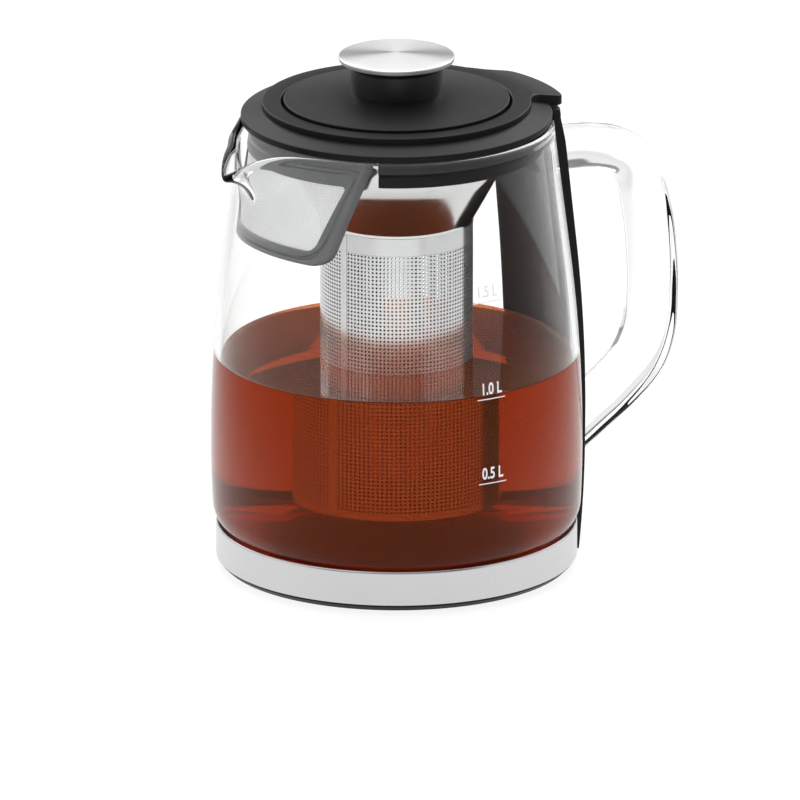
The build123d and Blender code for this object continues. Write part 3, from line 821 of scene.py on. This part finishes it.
class TEAPOT_OT_outer_lid(PieceOperator, bpy.types.Operator):
    """Builds the outer lid: flange with skirt, and raised ring with its tab"""

    bl_idname = "teapot.outer_lid"
    bl_label = "Outer lid"

    tab_half_width: length_setting("Tab half width", "Half of the tab's width", 19.5 * MM)
    tab_reach: length_setting("Tab reach", "Radius of the tab's end", 65.5 * MM)

    def execute(self, context):
        finish = lid_finish(context)
        self.flange(finish)
        self.raised_ring(finish)
        dress(shared("dark_silicone", silicone_finish), "lid_gasket")
        return {"FINISHED"}

    def flange(self, finish):
        """Lathed flange with a sloping top, and the skirt as an arc that leaves out the spout side."""
        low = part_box("glass_jug")[1].z + 0.3 * MM
        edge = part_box("lid_ring")[1].x
        top, seat = low + 2.5 * MM, low + 5.0 * MM
        shelf, ledge = seat - 1.8 * MM, low + 1.4 * MM
        profile = soften([(LID_BORE, low, 0.2 * MM), (edge - 0.2 * MM, low, 0.4 * MM), (edge, top, 0.5 * MM),
                          (LID_STEP, seat, 0.1 * MM), (LID_STEP, shelf, 0), (LID_MOUTH, shelf, 0),
                          (LID_MOUTH, ledge, 0), (LID_BORE, ledge, 0.2 * MM)], 6)
        skirt = soften([(53.2, -11, 0.4), (55.4, -11, 0.9), (55.4, -6.4, 0.4), (55.0, -6.0, 0.4),
                        (55.0, 0.1, 0), (53.2, 0.1, 0)]) * MM
        skirt[:, 1] += low
        half_gap = math.radians(52)
        arc = lathe(skirt, 220, SPOUT_ANGLE + half_gap, FULL_TURN - 2 * half_gap)
        add_piece("lid_ring_flange", [patch(lathe(profile, 320), wrap_rows=True),
                                      patch(capped(arc, axis=1), True, False)],
                  finish, "lid", ["lid_ring"])

    def raised_ring(self, finish):
        """Ring with a tab. Its outline is a circle joined to a strip with round corners; the surface
        runs from the mouth across the top, over a rounded edge and down to the flange. The top is
        level up to the step and slopes down beyond it."""
        step, mouth = LID_STEP, LID_MOUTH
        top_slope, flange_slope = 0.22, 0.3086
        flange_edge, edge_round = 59.7 * MM, 0.5 * MM
        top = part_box("lid_upper_ring")[1].z
        half, reach = self.tab_half_width, self.tab_reach
        meet = math.sqrt(step ** 2 - half ** 2)
        corner_x = math.sqrt(reach ** 2 - half ** 2)
        start = math.atan2(half, meet) + math.radians(5.5)
        swing = np.linspace(start, FULL_TURN - start, 420)
        circle = np.stack([step * np.cos(swing), step * np.sin(swing)], axis=-1)
        end_swing = np.linspace(-1, 1, 41) * (math.asin(half / reach) - math.radians(3.2))
        end = np.stack([reach * np.cos(end_swing), reach * np.sin(end_swing)], axis=-1)
        turn_in = self.fillet(circle[-1], (meet + 1.2 * MM, -half), (meet + 5.5 * MM, -half))
        turn_out = self.fillet((corner_x - 3.2 * MM, -half), (corner_x, -half), end[0])
        mirror = np.array([1, -1])
        outline = np.concatenate([circle, turn_in[1:], turn_out, end[1:-1], turn_out[::-1] * mirror,
                                  turn_in[::-1][:-1] * mirror])
        along = np.roll(outline, -1, axis=0) - np.roll(outline, 1, axis=0)
        normal = np.stack([along[:, 1], -along[:, 0]], axis=-1)
        normal /= np.linalg.norm(normal, axis=1, keepdims=True)
        flow = outline / np.linalg.norm(outline, axis=1, keepdims=True)

        def surface(r):
            """Top height at a radius."""
            return top - top_slope * np.clip(r - step - 0.5 * MM, 0, None)

        def row(inset, down):
            """The outline moved inwards and lowered."""
            p = outline - normal * inset
            return np.concatenate([p, (surface(np.linalg.norm(p, axis=1)) - down)[:, None]], axis=1)

        rows = []
        for share in (0.0, 0.12, 0.3, 0.6, 0.9, 1.0):
            p = mouth * flow * (1 - share) + (outline - normal * 0.6 * MM) * share
            crown = 0.22 * MM * math.sin(math.pi * share)
            rows.append(np.concatenate([p, surface(np.linalg.norm(p, axis=1))[:, None] + crown], axis=1))
        a = np.linspace(0, math.pi / 2, 6)
        rows += [row(edge_round * (1 - math.sin(t)), edge_round * (1 - math.cos(t))) for t in a]
        rows.append(row(0, 0.62 * MM))
        r = np.linalg.norm(outline, axis=1)
        flange_top = top - 2.4 * MM - flange_slope * (r - step)
        bottom = np.where(r > flange_edge, top - 6.35 * MM, flange_top - 0.03 * MM)
        base = np.concatenate([outline, bottom[:, None]], axis=1)
        under = base.copy()
        under[:, :2] = mouth * flow
        under[:, 2] = top - 4 * MM
        lip = under.copy()
        lip[:, 2] = top - 0.3 * MM
        lip_in = rows[0].copy()
        lip_in[:, :2] = (mouth + 0.3 * MM) * flow
        points = np.stack([lip, lip_in, *rows[1:], base, under])
        add_piece("lid_upper_ring_tab", [patch(points, wrap_rows=True)], finish, "lid",
                  ["lid_upper_ring"], sharp=50)

    def fillet(self, start, corner, end, count=9):
        """Parabola from start to end, aimed at corner."""
        t = np.linspace(0, 1, count)[:, None]
        start, corner, end = np.asarray(start), np.asarray(corner), np.asarray(end)
        return (1 - t) ** 2 * start + 2 * t * (1 - t) * corner + t ** 2 * end


class TEAPOT_OT_filter(PieceOperator, bpy.types.Operator):
    """Builds the spout filter: a framed fine mesh that follows the wall"""

    bl_idname = "teapot.filter"
    bl_label = "Spout filter"

    pitch: length_setting("Pitch", "Distance between the mesh's holes", 0.95 * MM)
    hole: length_setting("Hole", "Width of a hole", 0.62 * MM)

    def execute(self, context):
        colour = tuple(context.scene.teapot_finish.filter_colour)
        finish = plastic_finish("grey_frame_plastic", colour, 0.4, 0.3 * MM, 0.02 * MM)
        low, high = (corner.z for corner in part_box("spout_filter_frame"))
        outer = self.outline(low, high, 0)
        bar_width, bar_depth = 5.2 * MM, 2.2 * MM
        inner = self.outline(low, high, bar_width)
        # The bar's section: across from the outer outline (0) to the inner one (1), and its depth.
        section = [(0, 0.7), (0, 0.35), (0.06, 0.08), (0.14, 0), (0.34, 0), (0.40, 0.3), (0.50, 0.3),
                   (0.56, 0), (0.88, 0), (0.96, 0.1), (1, 0.4), (1, 1), (0, 1)]
        rows = []
        for across, depth in section:
            flat = outer * (1 - across) + inner * across
            rows.append(self.on_panel(flat, depth * bar_depth))
        add_piece("spout_filter_frame_bar", [patch(np.stack(rows), wrap_rows=True)], finish, "lid",
                  ["spout_filter_frame"])
        self.mesh(inner)
        return {"FINISHED"}

    def outline(self, low, high, inset):
        """Closed outline (across, height): a trapezoid, wide at the top, with round lower corners."""
        top = high - (0 if inset == 0 else 11 * MM)
        low = low + inset
        top_half, foot_half = 57 * MM * math.sin(math.radians(47.5)), 61.3 * MM * math.sin(math.radians(33))
        wide, narrow = top_half - inset * 1.1, foot_half - inset * 1.1
        top_round = 0.5 * MM if inset == 0 else 2.5 * MM
        corners = soften([(-wide, top, top_round), (wide, top, top_round), (narrow, low, 7 * MM - inset / 2),
                          (-narrow, low, 7 * MM - inset / 2)], 10)
        closed = np.vstack([corners, corners[:1]])
        length = np.r_[0, np.cumsum(np.linalg.norm(np.diff(closed, axis=0), axis=1))]
        place = np.linspace(0, length[-1], 240, endpoint=False)
        return np.stack([np.interp(place, length, closed[:, k]) for k in (0, 1)], axis=-1)

    def on_panel(self, flat, depth):
        """Puts flat points on the panel: x = -sqrt(r^2 - y^2), r a little inside the wall."""
        under_wall = 4.25 * MM
        y, z = flat[..., 0], flat[..., 1]
        r = wall_radius(z) - under_wall - depth
        return np.stack([-np.sqrt(np.clip(r ** 2 - y ** 2, 0, None)), y, z], axis=-1)

    def mesh(self, window):
        """Fine mesh over the window, with a margin inside the frame."""
        margin, foot_half = 1.3 * MM, 28.6 * MM
        low, high = window.min(axis=0) - margin, window.max(axis=0) + margin
        columns, rows = (int(n) for n in np.ceil((high - low) / self.pitch))

        def keep(i, j):
            """Cells inside the trapezoid."""
            y, z = low[0] + (i + 0.5) * self.pitch, low[1] + (j + 0.5) * self.pitch
            limit = np.interp(z, [low[1], high[1]], [foot_half, window[:, 0].max() + margin * 0.6])
            return np.abs(y) < limit

        def place(u, v, depth):
            """Flat sheet to panel."""
            return self.on_panel(np.stack([low[0] + u, low[1] + v], axis=-1), depth + 0.95 * MM)

        points, faces = perforated(columns, rows, self.pitch, self.hole, 0.2 * MM, every_cell, keep, place)
        add_piece("spout_filter_mesh_sheet", [(points, faces)],
                  polished_steel_finish("filter_mesh_steel", (0.93, 0.93, 0.93), 0.3, 0.6), "lid",
                  ["spout_filter_mesh"], sharp=60)


class TEAPOT_OT_infuser(PieceOperator, bpy.types.Operator):
    """Builds the infuser: funnel, perforated tube, seam strip and floor"""

    bl_idname = "teapot.infuser"
    bl_label = "Infuser"

    columns: IntProperty(name="Columns", description="Holes round the tube", default=122)
    hole: length_setting("Hole", "Width of a hole", 0.86 * MM)
    seam: angle_setting("Seam angle", "Where the seam lies", math.radians(196))

    def execute(self, context):
        self.funnel(polished_steel_finish("polished_funnel_steel"))
        self.tube()
        return {"FINISHED"}

    def funnel(self, steel):
        """Lathed funnel with a small turned edge at its foot and its rim."""
        low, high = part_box("infuser_funnel")
        foot, rim = 29.6 * MM, high.x
        wall, thick = 42.2 * MM, 0.6 * MM
        profile = soften([(foot - thick, low.z + 0.1 * MM, 0.1 * MM), (foot, low.z, 0.25 * MM),
                          (foot + 0.15 * MM, low.z + 1.2 * MM, 0.5 * MM), (wall, CONE_TOP, 11 * MM),
                          (wall, high.z - 0.6 * MM, 0.3 * MM), (rim, high.z - 0.6 * MM, 0.3 * MM),
                          (rim, high.z, 0.3 * MM), (wall - thick, high.z, 0.5 * MM),
                          (wall - thick, CONE_TOP + 0.2 * MM, 11 * MM),
                          (foot - thick + 0.1 * MM, low.z + 1.2 * MM, 0.3 * MM)], 12)
        add_piece("infuser_funnel_wall", [patch(lathe(profile, 256), wrap_rows=True)], steel, "infuser",
                  ["infuser_funnel"])

    def tube(self):
        """Perforated tube in three bands, with plain bands above and below and the seam strip."""
        low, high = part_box("infuser_tube")
        radius = high.x
        thick = 0.35 * MM
        pitch = FULL_TURN * radius / self.columns
        first, last = low.z + 2 * MM, high.z - 7 * MM
        rows = int((last - first) / pitch)
        finish = tube_finish(radius)

        def place(u, v, depth):
            """Flat sheet to tube: u goes round, v goes up."""
            angle = self.seam + u / radius
            r = radius - depth
            return np.stack([r * np.cos(angle), r * np.sin(angle), v], axis=-1)

        bands = 3
        per_band = -(-rows // bands)
        for band in range(bands):
            count = min(per_band, rows - band * per_band)
            base = last - (rows - band * per_band) * pitch

            def band_place(u, v, depth, base=base):
                """One band at its height."""
                return place(u, base + v, depth)

            points, faces = perforated(self.columns, count, pitch, self.hole, thick,
                                       lambda i, j: (i > 0) & (i < self.columns - 1),
                                       every_cell, band_place)
            add_piece(f"infuser_tube_sheet_{band + 1}", [(points, faces)], finish, "infuser",
                      ["infuser_tube"] if band == 0 else (), sharp=60)
        start = last - rows * pitch
        plain = [self.band(radius, thick, last, high.z), self.band(radius, thick, low.z, start)]
        add_piece("infuser_tube_bands", [patch(lathe(p, 244), wrap_rows=True) for p in plain], finish,
                  "infuser")
        strip = self.band(radius + 0.28 * MM, 0.26 * MM, low.z + 0.2 * MM, high.z - 0.6 * MM)
        half = 1.5 * MM / radius
        arc = lathe(strip, 8, self.seam - half, 2 * half)
        add_piece("infuser_seam_cover", [patch(capped(arc, axis=1), True, False)], finish, "infuser",
                  ["infuser_seam_strip"])
        # The floor lies inside the tube's radius, so it takes the near-black painted shade of the inner face.
        dress(finish, "infuser_floor")

    def band(self, outer, thick, low, high):
        """Section of a thin band."""
        edge = 0.12 * MM
        return soften([(outer, low, edge), (outer, high, edge), (outer - thick, high, edge),
                       (outer - thick, low, edge)], 3)


class TEAPOT_OT_inner_lid(PieceOperator, bpy.types.Operator):
    """Builds the inner lid's domed disc and finishes the parts under it"""

    bl_idname = "teapot.inner_lid"
    bl_label = "Inner lid"

    def execute(self, context):
        low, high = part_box("inner_lid_disc")
        edge = high.x
        top_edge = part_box("lid_upper_ring")[1].z
        rise, proud = 3.9 * MM, 0.8 * MM
        r = np.linspace(16.5 * MM, edge - 1.6 * MM, 24)
        dome = np.stack([r, top_edge + proud + rise * (1 - (r / edge) ** 2)], axis=-1)
        turn = soften([(edge - 1.6 * MM, dome[-1, 1], 0),
                       (edge - 0.02 * MM, top_edge + proud + 0.1 * MM, 0.5 * MM),
                       (edge, low.z, 0.3 * MM), (edge - 1.2 * MM, low.z, 0.3 * MM),
                       (edge - 1.2 * MM, low.z + 3 * MM, 0)], 6, closed=False)[1:]
        inside = [(16.5 * MM, low.z + 3 * MM)]
        profile = np.concatenate([dome, turn, inside])
        add_piece("inner_lid_disc_dome", [patch(lathe(profile, 288), wrap_rows=True)],
                  lid_finish(context), "inner_lid", ["inner_lid_disc"])
        dress(black_finish(context), "inner_lid_plug")
        dress(shared("dark_silicone", silicone_finish), "inner_lid_seal")
        dress(screw_finish(), "knob_screw", "knob_washer")
        return {"FINISHED"}


class TEAPOT_OT_knob(PieceOperator, bpy.types.Operator):
    """Builds the knob: a black neck under a shallow brushed steel cap"""

    bl_idname = "teapot.knob"
    bl_label = "Knob"

    def execute(self, context):
        low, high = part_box("knob_neck")
        cap_low, cap_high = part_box("knob_cap")
        neck = 17.5 * MM
        top, lip = high.z - 0.05 * MM, neck + 2.4 * MM
        flange = soften([(0.4 * MM, low.z, 0), (neck, low.z, 0.1 * MM), (neck, low.z + 1.3 * MM, 0),
                         (neck, high.z - 2 * MM, 1.2 * MM), (lip, high.z - 0.7 * MM, 0.4 * MM),
                         (lip, top, 0.1 * MM), (0.4 * MM, top, 0)], 6)
        add_piece("knob_neck_post", [patch(lathe(flange, 192), wrap_rows=True)],
                  plastic_finish("knob_black", (0.012, 0.012, 0.013), 0.3, 0.3 * MM, 0.01 * MM),
                  "inner_lid", ["knob_neck"])
        edge = cap_high.x
        rise = 1.2 * MM
        top = cap_high.z
        r = np.linspace(0.0, edge - 1.5 * MM, 30)
        dome = np.stack([r, top - rise * (r / edge) ** 2], axis=-1)
        rest = soften([(edge - 1.5 * MM, dome[-1, 1], 0), (edge, dome[-1, 1] - 0.3 * MM, 1.4 * MM),
                       (edge - 0.25 * MM, cap_low.z + 0.1 * MM, 0.5 * MM),
                       (edge - 1.2 * MM, cap_low.z, 0.2 * MM), (20.3 * MM, cap_low.z + 0.1 * MM, 0.1 * MM),
                       (20.2 * MM, cap_low.z + 0.7 * MM, 0)], 8, closed=False)[1:]
        profile = np.concatenate([dome, rest, [(0, cap_low.z + 0.7 * MM)]])
        add_piece("knob_cap_dome", [patch(lathe(profile, 256))],
                  turned_steel_finish("turned_cap_steel", (0.60, 0.60, 0.605), 0.4, anisotropic=0.82),
                  "inner_lid", ["knob_cap"])
        return {"FINISHED"}


# ---------------------------------------------------------------- stage

class TEAPOT_OT_stage(PieceOperator, bpy.types.Operator):
    """Builds floor, studio light and camera"""

    bl_idname = "teapot.stage"
    bl_label = "Stage"

    def execute(self, context):
        scene, stage = context.scene, context.scene.teapot_stage
        self.floor()
        self.sky(scene)
        self.camera(scene, stage)
        self.lamps(stage)
        scene.view_settings.view_transform = "Standard"
        return {"FINISHED"}

    def floor(self):
        """Wide pale floor, nearly white to the camera but for the soft shadow."""
        half = 4.0
        mesh = bpy.data.meshes.new("studio_floor")
        corners = [(-half, -half, 0), (half, -half, 0), (half, half, 0), (-half, half, 0)]
        mesh.from_pydata(corners, [], [(0, 1, 2, 3)])
        floor = bpy.data.objects.new("studio_floor", mesh)
        bpy.context.scene.collection.objects.link(floor)
        finish = Finish("studio_floor")
        lit = finish.node("ShaderNodeBsdfDiffuse", {}, {"Color": (0.86, 0.86, 0.86)})
        plain, dim = (finish.node("ShaderNodeEmission", {}, {"Color": (1.0, 1.0, 1.0), "Strength": strength})
                      for strength in (1.05, 0.3))
        x, y, _ = finish.parts()
        azimuth = bpy.context.scene.teapot_stage.azimuth
        across = (x * math.cos(azimuth) + y * math.sin(azimuth)).size()
        along = (y * math.cos(azimuth) - x * math.sin(azimuth)).size()
        out = finish.rise(across, 0.12, 0.4).larger(finish.rise(along, 0.75, 1.3))
        camera, glossy, through = finish.rays("Is Camera Ray", "Is Glossy Ray", "Is Transmission Ray")
        mirrored = glossy * (1 - through)
        far = finish.node("ShaderNodeMixShader", {}, {0: out * (mirrored + through * 0.35), 1: plain, 2: dim})
        seen = camera.larger(glossy).larger(through)
        finish.finish_with(finish.node("ShaderNodeMixShader", {}, {0: seen * 0.85, 1: lit, 2: far}))
        mesh.materials.append(finish.material)

    def sky(self, scene):
        """Studio round the jug: white overhead, grey walls with dark gaps between soft panels; the
        camera sees plain white."""
        world = bpy.data.worlds.new("studio")
        scene.world = world
        studio = Nodes(world, "ShaderNodeOutputWorld", "Generated")
        x, y, z = studio.parts()
        ahead = math.atan2(math.cos(scene.teapot_stage.azimuth), -math.sin(scene.teapot_stage.azimuth))
        # swing is the turn away from straight ahead of the camera, and z the height of the direction.
        side, depth = y * math.cos(ahead) - x * math.sin(ahead), x * math.cos(ahead) + y * math.sin(ahead)
        swing = side.math("ARCTAN2", side, depth).size()
        rise = studio.rise
        sides = rise(swing, 0.60, 0.95) * (1 - rise(swing, 2.0, 2.35)) * rise(z, -0.1, 0.1)
        sides = sides * (1 - rise(z, 0.45, 0.7))
        front = rise(swing, 2.5, 2.8) * rise(z, 0.05, 0.25) * (1 - rise(z, 0.5, 0.7))
        band = rise(z, 0.12, 0.2) * (1 - rise(z, 0.4, 0.52))
        back = (1 - rise(swing, 0.5, 0.9)) * (0.8 - band * 0.64)
        level = sides * 0.9 + back + rise(z, 0.6, 0.88) * 1.4 + front * 0.3 + 0.05
        camera, through = studio.rays("Is Camera Ray", "Is Transmission Ray")
        light_room = (1 - (1 - rise(swing, 0.3, 0.6) + rise(swing, 2.3, 2.6)) * band) * 0.85
        level = level * (1 - through) + level.larger(light_room) * through
        strength = level * (1 - camera) + camera
        studio.finish_with(studio.node("ShaderNodeBackground", {}, {"Color": (1.0, 1.0, 1.0),
                                                                    "Strength": strength}))

    def camera(self, scene, stage):
        """Long lens, so that the view is nearly parallel; its width at the jug is view_width."""
        view = bpy.data.cameras.new("camera")
        view.sensor_width = 36
        view.lens = 36 * stage.distance / stage.view_width
        view.clip_end = 100
        camera = bpy.data.objects.new("camera", view)
        scene.collection.objects.link(camera)
        scene.camera = camera
        az, el = stage.azimuth, stage.elevation
        right = np.array([math.cos(az), math.sin(az), 0])
        back = np.array([math.sin(az) * math.cos(el), -math.cos(az) * math.cos(el), math.sin(el)])
        aim = np.array([0, 0, stage.aim_height]) + right * stage.aim_side
        camera.location = aim + back * stage.distance
        camera.rotation_euler = (math.pi / 2 - el, 0, az)

    def lamps(self, stage):
        """A large lamp overhead, a weak one at the left, and two cards behind, out of the picture."""
        az = stage.azimuth
        right, ahead = np.array([math.cos(az), math.sin(az), 0]), np.array([-math.sin(az), math.cos(az), 0])
        self.lamp("top_lamp", ahead * 0.25 + (0, 0, 1.7), (1.3, 1.3), stage.lamp_power * 1.5)
        self.lamp("side_lamp", (-1.3, -0.5, 1.0), (0.9, 0.9), stage.lamp_power * 0.4)
        for side, name in ((-1, "left_card"), (1, "right_card")):
            place = right * side * 0.42 + ahead * 0.55 + (0, 0, 0.62)
            self.lamp(name, place, (0.56, 0.62), stage.lamp_power * 0.5)

    def lamp(self, name, place, size, power):
        """Rectangular lamp that faces the lid."""
        lid_height = 0.18
        light = bpy.data.lights.new(name, "AREA")
        light.shape = "RECTANGLE"
        light.size, light.size_y = size
        light.energy = power
        holder = bpy.data.objects.new(name, light)
        bpy.context.scene.collection.objects.link(holder)
        holder.location = place
        x, y, z = place
        holder.rotation_euler = (math.atan2(math.hypot(x, y), z - lid_height), 0,
                                 math.atan2(y, x) + math.pi / 2)


class TEAPOT_PT_panel(bpy.types.Panel):
    """Lists the settings and the build steps"""

    bl_idname = "TEAPOT_PT_panel"
    bl_label = "Clear jug teapot"
    bl_space_type = "VIEW_3D"
    bl_region_type = "UI"
    bl_category = "Teapot"

    def draw(self, context):
        column = self.layout.column(align=True)
        for step in STEPS:
            column.operator(step.bl_idname)
        for group in GROUPS:
            settings = getattr(context.scene, group)
            box = self.layout.box()
            for key in settings.bl_rna.properties.keys():
                if key not in ("rna_type", "name"):
                    box.prop(settings, key)


GROUPS = {"teapot_jug": TEAPOT_PG_jug, "teapot_tea": TEAPOT_PG_tea, "teapot_finish": TEAPOT_PG_finish,
          "teapot_stage": TEAPOT_PG_stage}
STEPS = (TEAPOT_OT_jug, TEAPOT_OT_marks, TEAPOT_OT_tea, TEAPOT_OT_handle, TEAPOT_OT_strap, TEAPOT_OT_foot,
         TEAPOT_OT_outer_lid, TEAPOT_OT_filter, TEAPOT_OT_infuser, TEAPOT_OT_inner_lid, TEAPOT_OT_knob,
         TEAPOT_OT_stage)


def register():
    """Registers the settings, steps and panel."""
    for group in GROUPS.values():
        bpy.utils.register_class(group)
    for name, group in GROUPS.items():
        setattr(bpy.types.Scene, name, PointerProperty(type=group))
    for step in (*STEPS, TEAPOT_PT_panel):
        bpy.utils.register_class(step)


def unregister():
    """Takes back what register added."""
    for step in reversed((*STEPS, TEAPOT_PT_panel)):
        bpy.utils.unregister_class(step)
    for name in GROUPS:
        delattr(bpy.types.Scene, name)
    for group in reversed(list(GROUPS.values())):
        bpy.utils.unregister_class(group)


def main():
    """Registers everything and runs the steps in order."""
    register()
    for step in STEPS:
        area, name = step.bl_idname.split(".")
        if getattr(getattr(bpy.ops, area), name)() != {"FINISHED"}:
            raise RuntimeError(f"{step.bl_label} didn't finish")


if __name__ == "__main__":
    main()
